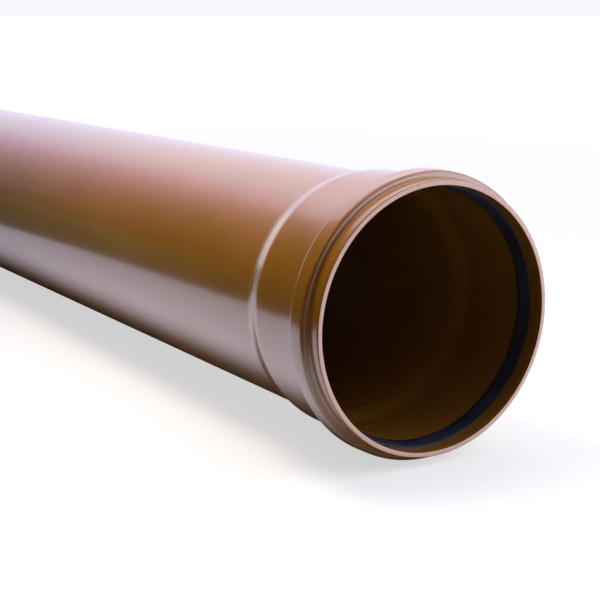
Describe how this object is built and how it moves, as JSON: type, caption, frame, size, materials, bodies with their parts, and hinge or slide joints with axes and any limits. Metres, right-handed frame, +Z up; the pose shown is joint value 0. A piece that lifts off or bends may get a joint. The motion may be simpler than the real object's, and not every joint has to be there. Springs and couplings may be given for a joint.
{
  "type": "pvc sewer pipe",
  "caption": "Smooth orange-brown PVC-U drain pipe with a formed socket, a rubber sealing ring in its groove and a chamfered plain end, for buried gravity sewers.",
  "frame": {"origin": "on the floor, below the middle of the pipe's length", "axes": "+X towards the socket's mouth, +Z up; the pipe's axis lies in the XZ plane and rises 0.51 degrees towards +X, because the socket's bead is thicker than the plain end"},
  "size_m": [1.0876, 0.1787, 0.1788],
  "materials": {
    "pvc": "satin",
    "ring_rubber": "satin"
  },
  "bodies": {
    "root": {"pipe": "pvc", "sealing_ring": "ring_rubber"}
  },
  "joints": []
}
